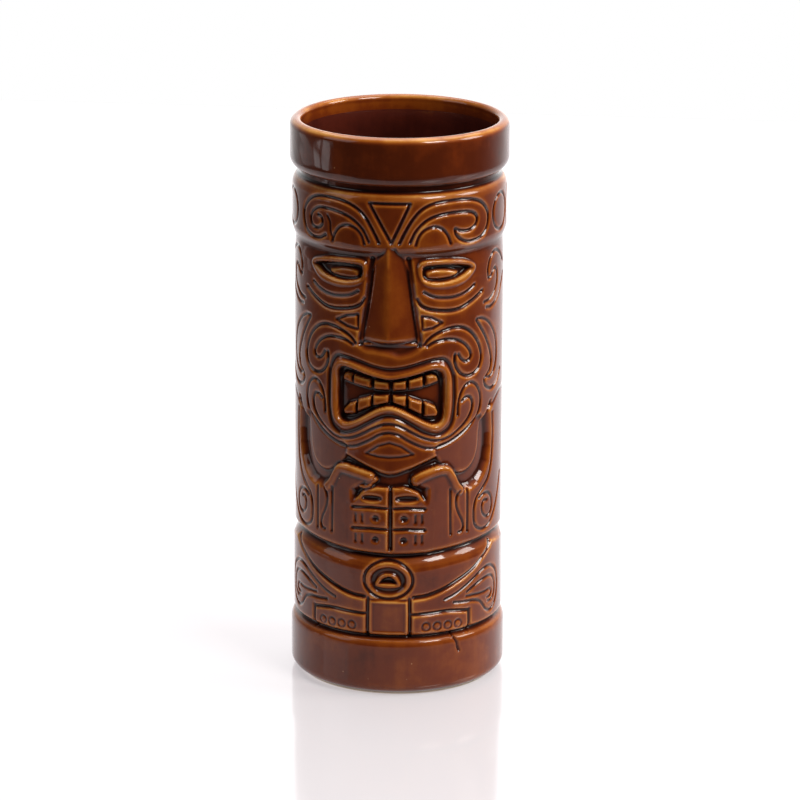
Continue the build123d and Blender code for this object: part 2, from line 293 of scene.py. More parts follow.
# ---------------------------------------------------------------- forehead
cut([(-10.7, 154.3), (10.8, 154.3), (1.0, 142.2)], 1.6, 1.0, closed=True, straight=True)
FR1 = [(5.2, 142.2), (8.5, 146), (12.5, 149.8), (17, 152.5), (23, 154.1), (31, 154.7), (40, 154.8),
       (47, 154.3), (53, 152.9), (57, 150.5), (58.2, 148), (57, 145.2), (53.5, 142.9), (48, 141.8),
       (42.5, 141.8), (38.5, 142.7), (36, 144.2), (35.2, 145.7)]
FR2 = [(35.2, 146.0), (39, 145.2), (44, 145.2), (47.8, 146.3), (49.3, 148), (48.3, 149.6), (45, 150.6),
       (40, 151), (33, 151), (27, 150.6), (21.5, 149.7), (17, 148), (13.5, 145.6), (10.8, 142.4)]
DOME = [(13.8, 141.6), (15.3, 144.2), (18.5, 146.2), (23.5, 147.1), (28, 146.2), (31, 144.2), (32.8, 141.6)]
FL1 = [(-5.5, 142.2), (-9, 146.2), (-13, 150), (-17.5, 152.4), (-23, 153.9), (-30, 154.7), (-38, 154.9),
       (-45, 154.4), (-51, 152.6), (-54.8, 149.8), (-55, 146.6), (-52.5, 143.6), (-47.5, 142.0), (-41.5, 142.0),
       (-37, 143.2)]
FL2 = [(-11, 142.4), (-14, 145.8), (-18, 148.2), (-23, 149.9), (-29, 150.9), (-36, 151.4), (-42, 151.2),
       (-47, 149.6), (-48.6, 147.2), (-46.5, 145.2), (-42.5, 144.9), (-39.4, 146.2), (-39.8, 148.2), (-42.4, 148.9)]
OVAL = ring(73.0, 148.6, 10.2 * SCALE, 5.6)
cut(FR1, 1.7, 1.0)
cut(FR2, 1.6, 0.95)
cut(DOME, 1.5, 0.8)
cut(left(DOME, 0.4), 1.5, 0.8)
cut(FL1, 1.7, 1.0)
cut(FL2, 1.5, 0.85)
cut([(-31.8, 141.8), (-33.4, 144.6), (-33.8, 147.3), (-35.6, 149.2)], 1.2, 0.55)
cut(OVAL, 1.5, 0.7, closed=True)
cut(left(OVAL, -0.4), 1.5, 0.7, closed=True)
for f in (lambda p: behind(p), lambda p: left(behind(p), 0)):
    cut(f(FR1), 1.7, 1.0)
    cut(f(FR2), 1.6, 0.95)
    cut(f(DOME), 1.5, 0.8)
    cut(f(OVAL), 1.5, 0.7, closed=True)
    cut(f([(90, 142.2), (92.6, 145.4), (93.4, 148.6), (92.6, 151.8), (90, 154.6)]), 1.3, 0.7)
cut([(169.3, 154.3), (190.7, 154.3), (180.0, 142.2)], 1.6, 1.0, closed=True, straight=True)

# ---------------------------------------------------------------- eyes
ER = [(16.4, 132.6), (16.8, 134.9), (20, 135.8), (28, 135.9), (37, 135.6), (44, 134.9), (48.8, 133.5),
      (46.5, 131.5), (42.5, 129.9), (37, 128.9), (30, 128.5), (23, 128.8), (18.5, 130)]
ER_IN = [(18.4, 131.6), (18.6, 134.0), (22, 134.7), (30, 134.8), (38, 134.5), (43, 134), (46.4, 133.4),
         (44, 132.0), (40, 130.9), (34, 130.1), (27, 129.9), (21.5, 130.4)]
BALL_R = [(20.2, 131.2), (20.4, 132.8), (25, 133.5), (32, 133.3), (37.5, 132.6), (39, 131.9), (35, 130.9),
          (28, 130.5), (22.5, 130.6)]
EL = [(-13.6, 132.6), (-13.9, 134.9), (-17, 135.8), (-25, 135.9), (-35, 135.6), (-42, 135.0), (-48.2, 133.9),
      (-46, 131.9), (-42, 130.0), (-36, 128.9), (-28, 128.5), (-20, 128.9), (-15.4, 130.2)]
EL_IN = [(-15.6, 131.6), (-15.8, 134.0), (-19.5, 134.7), (-28, 134.8), (-36, 134.5), (-41.5, 134.1),
         (-45.8, 133.7), (-43, 132.2), (-39, 130.9), (-32.5, 130.1), (-25, 129.9), (-19, 130.5)]
BALL_L = left(BALL_R, 2.6)
for rim_line, hole, ball in ((ER, ER_IN, BALL_R), (EL, EL_IN, BALL_L)):
    crest(rim_line, 2.05, 33.2, 1.3, closed=True, power=3.0)
    level(hole, 31.0, 0.8)
    level(ball, 32.2, 1.5)

# lines under the eyes
UE1 = [(14.8, 124.8), (17, 122.9), (21, 121.7), (27, 121), (34, 120.7), (40, 121.2), (46, 122.6), (51, 124), (55, 125.4)]
UE2 = [(18.5, 126.9), (24, 125.4), (32, 124.8), (39, 125.2), (45, 126.4), (49, 127.8)]
for f in (lambda p: p, lambda p: left(p, 1.2)):
    cut(f(UE1), 2.0, 1.1)
    cut(f(UE2), 1.7, 0.75)

# ---------------------------------------------------------------- nose
NOSE = [(-1.2, 140.6), (3.2, 140.6), (5.0, 138.6), (8.6, 136.6), (10.4, 133), (12.4, 124), (15.4, 113),
        (15.3, 111.0), (8, 110.9), (0, 111.2), (-8, 110.9), (-14.6, 111.0), (-14.7, 113), (-11.8, 124), (-9.8, 133),
        (-7.2, 136.6), (-3.4, 138.6)]
cut([(10.4, 136.8), (11.7, 131), (13.6, 122.5), (16.3, 113.5), (16.8, 110.6)], 2.9, 1.15)
cut([(-9.6, 136.8), (-10.9, 131), (-12.9, 122.5), (-15.6, 113.5), (-16.0, 110.8)], 2.9, 1.15)


def nose_radius(a, z):
    t = np.clip((z - 111.0) / 28.0, 0, 1)
    half = 15.0 - 9.5 * t ** 0.9
    ridge = 34.45 - 0.75 * t ** 1.5
    off = np.abs(a - 0.2) / half
    fall = 2.5 - 1.1 * t
    r = ridge - fall * np.clip(off, 0, 1.4) ** 1.1
    tip = np.clip((113.7 - z) / 2.0, 0, 1)
    return r - 1.1 * tip * tip


level(NOSE, nose_radius, 0.9, straight=True)
# shadowed hollow under the nose and the ridge to the upper lip
level([(-15.5, 110.6), (0, 110.9), (16, 110.6), (13, 108.6), (6, 107.4), (0, 108.2), (-8, 108.9), (-13, 109.2)], 31.9, 2.6)

# ---------------------------------------------------------------- cheeks
TRI = [(17.4, 119.5), (22.5, 119), (28.8, 117.2), (23.5, 115.7), (17.9, 115.2)]
cut(TRI, 1.35, 0.85, closed=True, straight=True)
cut([(-17.2, 119.7), (-24, 119), (-30.3, 117.4), (-24, 115.8), (-17.2, 115.0)], 1.35, 0.85, closed=True, straight=True)
RC1 = [(18.8, 110.6), (22, 112.6), (27, 114.2), (33, 115.2), (39, 115.3), (44.5, 114.2), (49.5, 111.8),
       (53.2, 108.6), (54.8, 105.2), (53.6, 102.3), (50, 100.4), (45.5, 99.7), (41, 100.4), (37.9, 102.3),
       (36.4, 104.8), (36.6, 106.8)]
RC2 = [(20.5, 110.2), (25, 111.4), (31, 111.9), (37, 111.5), (42, 110.1), (45.5, 108.1), (46.9, 106.1),
       (45.6, 104.7), (43, 104.4), (40.5, 105.3), (38.7, 106.8)]
LEAF1 = [(50.9, 116.9), (55, 116.9), (60, 115.7), (65, 113.5), (69, 110.9), (71.6, 107.8), (72.4, 104.4),
         (71.2, 101.2), (68, 98.9), (63.5, 97.8), (59.6, 98.2)]
LEAF2 = [(51, 116.6), (54.5, 114), (58.5, 110.9), (62, 107.4), (64.5, 104.2), (64.6, 101.8), (62.8, 99.8),
         (60, 98.5), (57.9, 97.4), (58.4, 95.8), (61.2, 94.5), (65.2, 93.9), (70, 94.3), (75, 95.8), (80, 98.4)]
RC3 = [(38.5, 87.8), (38.8, 91), (40.2, 94.2), (43, 96.6), (47, 97.5), (51, 96.4), (54, 93.6), (54.6, 90.5),
       (53.0, 87.4), (49.4, 84.6), (44, 82.2), (38, 80.3), (32, 78.9), (26, 78.1), (20, 78.3), (15, 79.4),
       (10, 80.9), (5, 82.6), (0.5, 83.2)]
RC4 = [(41.0, 92.0), (43.8, 93.1), (46.6, 92.9), (48.2, 91.3), (48, 89), (46, 86.7), (43, 84.8), (39, 83.0),
       (34, 81.3), (29, 80.5), (24, 80.6), (19, 81.4), (14, 82.8), (9, 84.4), (4, 85.6), (0.5, 85.9)]
SIDE1 = [(60.8, 129.0), (60.4, 131.4), (62, 134), (65.5, 135.8), (70, 136.5), (75, 136), (80, 134.4), (85, 132)]
SIDE2 = [(61.0, 128.8), (63.8, 129.2), (66.7, 130.6), (69.6, 131.2), (72, 129.8), (72.4, 127), (70, 124.7),
         (65.5, 122.9), (61, 122), (57, 121.7)]
SIDE3 = [(59, 120), (64, 119.8), (70, 120.8), (76, 122.7), (82, 125.4), (86, 128)]
for f in (lambda p: p, lambda p: left(p, 0.2)):
    cut(f(RC1), 1.7, 1.0)
    cut(f(RC2), 1.6, 0.9)
    cut(f(LEAF1), 1.4, 0.75)
    cut(f(LEAF2), 1.6, 0.95)
    cut(f(RC3), 1.5, 0.8)
    cut(f(RC4), 1.6, 0.85)
    cut(f(SIDE1), 1.5, 0.8)
    cut(f(SIDE2), 1.5, 0.8)
    cut(f(SIDE3), 1.5, 0.75)
for f in (lambda p: behind(p), lambda p: left(behind(p), 0)):
    cut(f(RC1), 1.7, 1.0)
    cut(f(RC2), 1.6, 0.9)
    cut(f(LEAF1), 1.4, 0.75)
    cut(f(LEAF2), 1.6, 0.95)
    cut(f(SIDE1), 1.5, 0.8)
    cut(f(SIDE2), 1.5, 0.8)
    cut(f(SIDE3), 1.5, 0.75)
    cut(f([(14, 137), (17, 131), (24, 127.6), (34, 127.2), (43, 130.2), (47.5, 133.6), (44, 136.6), (37, 136.9),
           (33.6, 134.4), (36.4, 131.9), (40, 132.6)]), 1.6, 0.9)
    cut(f([(12.5, 128), (18, 122.6), (26, 120.2), (36, 120), (46, 122.8), (53, 127)]), 1.6, 0.9)

# ---------------------------------------------------------------- mouth
LIPS = [(-30.6, 96), (-30.2, 101), (-27.6, 103.6), (-23.5, 104.0), (-17, 103.1), (-9, 101.5), (0, 100.5), (9, 101.3),
        (17, 102.7), (23.5, 103.7), (28.4, 103.0), (31.0, 100), (31.4, 95), (31.2, 90), (29.6, 86.4), (25, 84.4),
        (20, 85.2), (13, 87.4), (6, 89.8), (0.5, 90.8), (-5, 90.0), (-12, 87.7), (-19, 85.4), (-24.5, 84.5),
        (-29, 86.4), (-30.6, 90)]
GAPE = [(-27.2, 96), (-27, 100.4), (-25.2, 102.1), (-21, 101.9), (-15, 100.9), (-8, 99.8), (0, 99.0), (8, 99.7),
        (15, 100.7), (21, 101.7), (25.5, 101.5), (27.6, 99.6), (28, 95), (27.8, 90.6), (26.8, 87.4), (24, 86.4),
        (20, 87.0), (13.5, 89.1), (6.5, 91.3), (0.5, 92.2), (-5.5, 91.5), (-12, 89.4), (-18.5, 87.2), (-23.5, 86.4),
        (-26.4, 87.6), (-27.3, 91)]
MOAT = [(-33.9, 96), (-33.4, 102.2), (-29.4, 105.9), (-23.5, 106.0), (-16, 105.0), (-8.5, 103.7), (0, 102.9), (8.5, 103.5),
        (16, 104.7), (23.5, 105.7), (29.8, 105.4), (34.2, 101.4), (35.2, 96), (35.0, 89.6), (32.8, 84.6), (26.5, 82.2),
        (19, 83.1), (12.5, 85.4), (6, 87.6), (0.5, 88.5), (-5, 87.8), (-12, 85.5), (-19, 83.2), (-26, 82.3),
        (-31.9, 84.6), (-33.9, 89.6)]
def wider(points, k):
    return [(0.6 + (a - 0.6) * k, z) for a, z in points]


cut(wider(MOAT, 1.035), 2.5, 0.85, closed=True)
crest(wider(LIPS, 1.045), 2.75, 33.6, 1.7, closed=True, power=3.6)
level(wider(GAPE, 1.05), 30.7, 1.0, grow=0.65)
UPPER = [([(-26.6, 98.9), (-21.8, 98.1), (-21.4, 100.6), (-24.2, 101.0), (-26.4, 100.4)]),
         ([(-20.4, 97.9), (-10.8, 96.9), (-10.8, 99.4), (-20.2, 100.4)]),
         ([(-8.4, 96.7), (-0.4, 96.5), (-0.4, 98.9), (-8.2, 99.2)]),
         ([(2.2, 96.5), (9.2, 96.7), (9.0, 99.3), (2.2, 98.9)]),
         ([(10.9, 96.8), (18.5, 97.4), (18.3, 100.5), (10.9, 99.5)]),
         ([(20.5, 97.8), (27.2, 98.9), (26.6, 100.3), (24, 101), (20.6, 100.7)])]
LOWER = [([(-26.4, 89.4), (-25.6, 88.0), (-19.4, 88.6), (-19.4, 92.0), (-23, 91.3)]),
         ([(-18.0, 89.2), (-10.8, 91.1), (-10.6, 94.1), (-17.6, 92.9)]),
         ([(-8.8, 91.5), (-0.6, 92.6), (-0.6, 94.6), (-8.8, 94.4)]),
         ([(2.2, 92.6), (9.0, 91.3), (9.0, 94.3), (2.2, 94.6)]),
         ([(10.8, 90.9), (17.8, 88.8), (18.0, 92.6), (10.8, 94.0)]),
         ([(19.6, 88.2), (26.4, 88.0), (27.0, 89.4), (25.6, 91.0), (22.4, 92.0), (19.6, 92.4)])]
for t in UPPER:
    level(t, 32.5, 0.7, straight=True, grow=0.1)
for t in LOWER:
    level(t, 32.6, 0.7, straight=True, grow=0.1)
cut([(-12.6, 76.4), (-6, 79.0), (0.3, 80.1), (6.5, 79.0), (13.2, 76.4), (6, 75.6), (0, 75.4), (-6, 75.6)], 1.2, 0.55,
    closed=True, straight=True)

# ---------------------------------------------------------------- neck, arms and hands
NECK = [(-66, 88.6), (-60, 86.0), (-50, 82.2), (-40, 79.2), (-30, 76.6), (-20, 74.0), (-10, 71.6), (0, 69.8), (10, 71.3),
        (20, 73.6), (30, 76.0), (40, 78.6), (50, 81.8), (60, 86.0), (66, 88.6), (66, 64), (20, 62), (-20, 62), (-66, 64)]
level(NECK, 31.1, 1.6)
LOBE = [(27, 78), (28.6, 74.0), (32, 72.6), (36, 70.8), (41, 69.8), (46, 70.3), (50.6, 72.3), (53.6, 75.9), (54.4, 80),
        (54.8, 86), (45, 83), (36, 80.5)]
level(LOBE, 32.05, 1.4, grow=0.55)
level(left(LOBE, 1.6), 32.05, 1.4, grow=0.55)
ARM_R = [(13.8, 68.2), (15.0, 69.5), (18, 70.4), (22.5, 71.2), (28, 72.0), (32.4, 71.8), (35.4, 69.9), (37.4, 67.2), (39.8, 65.1), (43, 64.1),
         (48, 64.3), (53, 65.6), (58, 68.1), (61.5, 71.2), (63.7, 75.5), (64.3, 80), (63.6, 84), (62.6, 88.6),
         (75, 92), (92, 92), (92, 48), (20.5, 45), (21.0, 65.4), (17.4, 66.4), (14.6, 67.2)]
ARM_L = [(-9.0, 69.3), (-13, 70.3), (-18, 71.0), (-23, 71.5), (-27.6, 71.9), (-30.4, 70.2), (-33, 67.6), (-36.4, 65.4),
         (-41, 64.4), (-46, 64.7), (-51, 65.9), (-56, 68.4), (-59.8, 71.6), (-62.2, 75.5), (-63, 80), (-62.6, 84),
         (-62, 88.2), (-75, 92), (-92, 92), (-92, 48), (-20.5, 45), (-20.2, 64.6), (-17.4, 65.5), (-13.6, 66.9), (-11.6, 68.0)]
keep = H.copy()
level(ARM_R, 33.0, 2.9, straight=True, grow=0.35)
level(ARM_L, 33.0, 2.9, straight=True, grow=0.35)
# the hands end in a rounded roll along the top, which runs on over the bend of the arm
crest([(15.2, 68.0), (19, 69.2), (24, 70.2), (29, 70.8), (32.6, 70.4), (35.4, 68.2), (37.6, 65.6), (40.2, 63.8)], 3.6, 33.6, 1.3, power=2.8)
crest([(-10.8, 69.0), (-15, 69.6), (-20, 70.2), (-25, 70.7), (-28.4, 70.4), (-31.0, 68.4), (-33.6, 65.8), (-36.6, 64.0)], 3.6, 33.6, 1.3, power=2.8)
crest([(-12.4, 67.4), (-9.2, 67.6), (-7.6, 68.2)], 1.8, 33.0, 1.1)
crest([(-15.6, 66.0), (-12.6, 65.9), (-10.2, 66.6)], 1.8, 33.0, 1.1)
# only over the arms, not into the head
H[:] = H * below + keep * (1 - below)
side = step_up((AT - 80) / 8.0)
H[:] = H * (1 - side) + (33.0 * below + keep * (1 - below)) * side

# chest blocks in two columns
CHEST = [(-16.6, 63.2), (-14.6, 64.6), (-11, 65.4), (-6.5, 65.9), (-0.6, 65.6), (0.9, 65.2), (2.4, 65.6), (8, 66.0), (12.5, 65.4), (16.4, 64.2),
         (18.6, 62.6), (20.6, 60.9), (24.0, 60.3), (24.0, 45), (-24.0, 45), (-24.0, 60.3), (-20.2, 60.9)]
level(CHEST, 32.95, 1.1, straight=True)
level(ring(-9.4, 62.3, 3.1, 0.85), 31.9, 1.0)
level(ring(9.9, 62.3, 3.6, 0.95), 31.9, 1.0)
cut([(0.9, 46.4), (0.9, 64.8)], 2.6, 1.5, straight=True)
for z in (59.2, 52.5):
    cut([(-20.2, z - 0.1), (-10, z + 0.2), (-1, z), (3, z), (10, z + 0.2), (19.6, z - 0.2)], 1.7, 0.95, straight=True)
for a, z, r in ((-7.2, 56.0, 1.0), (8.4, 56.0, 1.05), (-7.2, 49.3, 0.95), (8.2, 49.2, 1.0)):
    level(ring(a, z, r, r * 0.9, 16), 32.25, 0.9)
for a, w in ((-14.6, 1.0), (-18.4, 0.8), (14.6, 1.0), (18.2, 0.8)):
    for z in (55.8, 49.4):
        cut([(a, z - 1.1), (a, z + 1.2)], w + 0.3, 0.5, straight=True)

# lower edge of the torso, the belly below it and the legs
edge = waist_z - Z2
H -= 1.7 * step_up((edge + 0.2) / 2.5)
q_ = np.clip(edge, 0, 40)
bulge = np.interp(q_, [0, 2.0, 2.8, 3.8, 5.0, 6.4, 8.5, 11, 14, 18, 30], [31.1, 31.2, 31.9, 32.7, 33.2, 33.45, 33.4, 33.2, 32.95, 32.8, 32.8])
bulge = bulge * (1 - step_up((AT - 56) / 26)) + np.interp(q_, [0, 2.2, 3.6, 5, 40], [31.2, 31.4, 32.6, 33.2, 33.5]) * step_up((AT - 56) / 26)
legs = up(edge, 2.0, 1.0)
H = H * (1 - legs) + bulge * legs
# thighs stand out again under the belly line
UNDER = [(-66, 45), (-62, 43.2), (-50, 38.4), (-38, 34.9), (-26, 32), (-13.8, 30.7), (0, 30.2), (13.8, 30.7), (26, 32), (38, 34.9),
         (50, 38.4), (62, 43.2), (66, 45), (84, 44), (84, 15), (-84, 15), (-84, 44)]
level(UNDER, 33.35, 1.2, straight=True)
# crease over the base band
H -= 1.7 * np.exp(-((Z2 - (Z_BASE + 0.4)) / 0.8) ** 2)
base = 1 - up(Z2, Z_BASE - 0.4, 0.5)
shoulder = np.clip((Z2 - (Z_BASE - 2.9)) / 3.0, 0, 1)
band = 34.2 - 2.2 * (1 - np.sqrt(1 - np.minimum(shoulder, 0.999) ** 2))
foot = np.clip((3.9 - Z2) / 2.9, 0, 1)
band = band - 2.6 * (1 - np.sqrt(1 - np.minimum(foot, 0.999) ** 2))
H = H * (1 - base) + band * base

FORE1 = [(34.2, 64.6), (34.4, 58), (34.6, 50.2)]
FORE2 = [(39.6, 63.8), (38.0, 61.6), (38.1, 59), (39.6, 56.6), (41.6, 54.4), (42.5, 52.3), (41.4, 50.8), (39.4, 50.6)]
FORE3 = [(45.4, 63.6), (45.5, 57), (45.4, 50.4)]
ELB1 = [(67.3, 86), (68.0, 80), (67.4, 74.5), (65.6, 69.6), (61.8, 65.8), (56.4, 62.8), (52.2, 60.6), (50.3, 58), (50, 55), (50.6, 52.4),
        (53.2, 50.7), (57.5, 50.0), (63, 50.7), (68, 52.5), (73, 55.5), (78, 59.6), (83, 65)]
ELB2 = [(53.8, 60.0), (58.4, 61.2), (63.2, 60.8), (66.6, 58.8), (67.2, 56.2), (64.8, 54.2), (60.8, 53.6), (57.6, 54.8),
        (56.4, 57), (58, 58.9), (61, 58.9)]
for f in (lambda p: p, lambda p: left(p, 1.2)):
    cut(f(FORE1), 1.3, 0.8)
    cut(f(FORE2), 1.3, 0.75)
    cut(f(FORE3), 1.5, 0.85)
    cut(f(ELB1), 1.5, 0.85)
    cut(f(ELB2), 1.4, 0.75)
for f in (lambda p: behind(p), lambda p: left(behind(p), 0)):
    cut(f(ELB1), 1.5, 0.85)
    cut(f(ELB2), 1.4, 0.75)
    cut(f([(46, 84), (38, 80), (31, 74), (27, 67), (26, 60), (29, 54), (36, 51.6), (43, 54), (46, 60), (43, 66), (37, 67.4),
           (33.6, 63.6), (36, 59.6), (39.4, 60.6)]), 1.6, 0.9)
    cut(f([(16, 91), (17, 80), (17, 66), (16, 52)]), 1.5, 0.85)
# spine blocks at the back
cut([(180, 50), (180, 92)], 1.5, 0.8, straight=True)
for z in (57, 64, 71, 78, 85):
    cut([(163.5, z), (196.5, z)], 1.5, 0.9, straight=True)

# ---------------------------------------------------------------- belly, legs and feet
BELLY = [(13.8, 30.7), (20, 31.1), (26, 32), (32, 33.3), (38, 34.9), (44, 36.5), (50, 38.4), (56, 40.9), (62, 43.2), (66, 45)]
LEG2 = [(31, 29.6), (37, 30.9), (43, 32.7), (49, 34.7), (55, 36.6), (61, 37.6), (67, 37), (72.5, 35), (75.5, 32),
        (76, 28.6), (73.8, 25.6), (69.6, 23.6), (64.5, 22.9), (60, 23.8), (57.2, 25.6), (54, 27.2), (49, 27.9),
        (43, 28.0), (36.5, 28.3)]
LEG3 = [(45, 31), (51, 32.7), (57, 33.9), (63, 34.3), (68.5, 33.2), (71, 30.5), (70.5, 27.6), (66.5, 26), (62, 26.2)]
LEG4 = [(44.5, 29.7), (51, 29.6), (58, 29.6), (64, 29.9), (66.3, 28.7), (64.5, 27.5), (61, 27.4)]
for f in (lambda p: p, lambda p: left(p, 0.4)):
    cut(f(BELLY), 2.0, 1.25)
    cut(f(LEG2), 1.4, 0.8)
    cut(f(LEG3), 1.3, 0.75)
    cut(f(LEG4), 1.2, 0.65)
    cut(f([(13.0, 25.4), (22, 25.6), (32, 25.9), (40, 25.5), (46.2, 25.0)]), 1.7, 1.1)
    cut(f([(46.4, 25.2), (46.6, 22), (46.4, 18.6)]), 1.9, 1.1, straight=True)
    cut(f([(11.6, 30.2), (11.8, 25), (11.8, 18.6)]), 2.1, 1.3, straight=True)
    for a in (20.6, 26.8, 33.0, 39.2):
        cut(f(ring(a, 21.4, 1.25, 1.25, 14)), 0.9, 0.5, closed=True)
    # low ledge that the thigh and the foot stand on
    cut(f([(47, 19.6), (56, 19.4), (66, 19.6), (80, 19.8), (90, 19.8)]), 1.3, 0.5)
for f in (lambda p: behind(p), lambda p: left(behind(p), 0)):
    cut(f(LEG2), 1.4, 0.8)
    cut(f(LEG3), 1.3, 0.75)
    cut(f(LEG4), 1.2, 0.65)
    cut(f([(84, 43.8), (70, 42.6), (56, 40), (44, 36.5), (34, 33), (24, 30.6), (12, 29.4), (0, 29)]), 1.9, 1.1)
    cut(f([(14, 26), (30, 26), (46, 25.2)]), 1.5, 0.9)
# belly button: a ring round a half moon
cut(ring(0.0, 36.4, 7.7, 6.1, 28), 1.6, 1.1, closed=True)
level(ring(0.0, 36.2, 5.6, 4.4, 24), 32.1, 1.4)
level([(-7.2, 35.2), (-5.2, 37.2), (-2.6, 38.2), (0, 38.4), (2.8, 38.2), (5.2, 37.2), (6.8, 35.2), (5.6, 34.2), (0, 33.9), (-6, 34.2)], 33.1, 0.9)
level([(-4.9, 35.2), (-3.8, 36.3), (-2, 37.1), (0, 37.4), (2, 37.1), (3.8, 36.2), (4.6, 35.2)], 31.3, 0.8, straight=True)
# loin flap
level([(-8.8, 19.6), (9.2, 19.6), (9.4, 29.0), (-9.0, 29.0)], 33.0, 1.0, straight=True)
cut([(-10, 30.0), (10.6, 30.0)], 1.4, 0.7, straight=True)
# split in the base band
cut([(35.6, 18.4), (36.2, 16.9), (37.6, 15.6), (37.9, 14.2), (38.8, 12.8)], 1.0, 1.4, straight=True)

LINES = G.copy()
H = H - G
H = blur(H, 0.20)
# the ridge of the nose is rounded over
soft_nose = step_up(1.6 - np.abs(T2 - 0.9) / 5.0) * step_up((Z2 - 114.5) / 3) * step_up((137 - Z2) / 3)
H = H * (1 - soft_nose) + blur(H, 0.8) * soft_nose
DROP = 1.1                    # the layout radii are this much over the finished ones
H -= DROP
WIDE = blur(H, 1.5)
NEAR = blur(H, 0.5)
#CARVED
#---------------------------------------------------------------- glaze thickness on the relief, with painted light
POOL_AND_SHEEN = WIDE - H
POOL_AND_SHEEN = np.clip(np.where(POOL_AND_SHEEN > 0, 0.66 * POOL_AND_SHEEN, 0.28 * POOL_AND_SHEEN), -1, 1)
SLOPE = np.gradient(blur(H, 0.35), ZZ, axis=0)
POOL_AND_SHEEN = np.clip(POOL_AND_SHEEN + 0.20 * np.clip(SLOPE, -1.2, 1.0), -1, 1)      # painted highlight: up-facing slopes made lighter, down-facing ones darker
# painted reflection: the recess under the brow is kept lighter, with less of the dark pool
brow_reflection = 0.65 * np.exp(-((Z2 - Z_BROW + 1.4) / 2.4) ** 2)
POOL_AND_SHEEN = np.where((POOL_AND_SHEEN > 0) & (LINES < 0.05), POOL_AND_SHEEN * (1 - brow_reflection), POOL_AND_SHEEN)
EDGE = np.clip((H - NEAR) / 0.15, -1, 1)         # + on the convex edges
POOL_AND_SHEEN = np.where(POOL_AND_SHEEN > 0, POOL_AND_SHEEN * (1 - 0.25 * step_up((92 - Z2) / 14)), POOL_AND_SHEEN)      # and fills the lower lines more softly
quiet = 1 - 0.55 * step_up((19.0 - Z2) / 1.2 + 0.5)          # on the shoulder of the base band the lighter values are toned down: less glaze break and less painted highlight
POOL_AND_SHEEN = np.where(POOL_AND_SHEEN < 0, POOL_AND_SHEEN * quiet, POOL_AND_SHEEN)
EDGE = EDGE * quiet * (1 - 0.55 * step_up((H - WIDE - 0.30) / 0.45))     # broad ridges stay amber

# radial height field -> surface normals
st = np.gradient(H, ZZ, axis=0)
HT = (np.roll(H, -1, 1) - np.roll(H, 1, 1)) / (2 * STEP * DEG)
sn, cs = np.sin(TH * DEG)[None, :], np.cos(TH * DEG)[None, :]
# outward direction (sn,-cs,0), along the wall (cs,sn,0)
NX = H * sn - HT * cs
NY = -H * cs - HT * sn
NZv = -H * st
ln = np.sqrt(NX * NX + NY * NY + NZv * NZv)
NORM = np.stack([NX / ln, NY / ln, NZv / ln], -1)
OUT = np.stack([H * sn, -H * cs, np.broadcast_to(ZZ[:, None], H.shape)], -1)
R_BACK = 29.45
BACK = np.stack([np.broadcast_to(R_BACK * sn, H.shape), np.broadcast_to(-R_BACK * cs, H.shape),
                 np.broadcast_to(ZZ[:, None], H.shape)], -1)
RADIAL = np.stack([np.broadcast_to(-sn, H.shape), np.broadcast_to(cs, H.shape), np.zeros(H.shape)], -1)


def build(name, verts, faces, normals, cutv, edgev):
    """One closed mesh with its own normals at every corner and its two glaze values, which on the relief also carry
    painted light, at every point.
    """
    me = bpy.data.meshes.new(name)
    me.vertices.add(len(verts))
    me.vertices.foreach_set("co", (verts * MM).astype(np.float32).ravel())
    me.loops.add(faces.size)
    me.loops.foreach_set("vertex_index", faces.astype(np.int32).ravel())
    me.polygons.add(len(faces))
    me.polygons.foreach_set("loop_start", (np.arange(len(faces)) * 4).astype(np.int32))
    me.polygons.foreach_set("loop_total", np.full(len(faces), 4, np.int32))
    me.update(calc_edges=True)
    me.validate(clean_customdata=False)
    me.polygons.foreach_set("use_smooth", np.ones(len(me.polygons), bool))
    for key, val in (("cut", cutv), ("edge", edgev)):
        at = me.attributes.new(key, "FLOAT", "POINT")
        at.data.foreach_set("value", val.astype(np.float32))
    me.normals_split_custom_set(normals.reshape(-1, 3).astype(np.float32))
    ob = bpy.data.objects.new(name, me)
    bpy.context.scene.collection.objects.link(ob)
    return ob


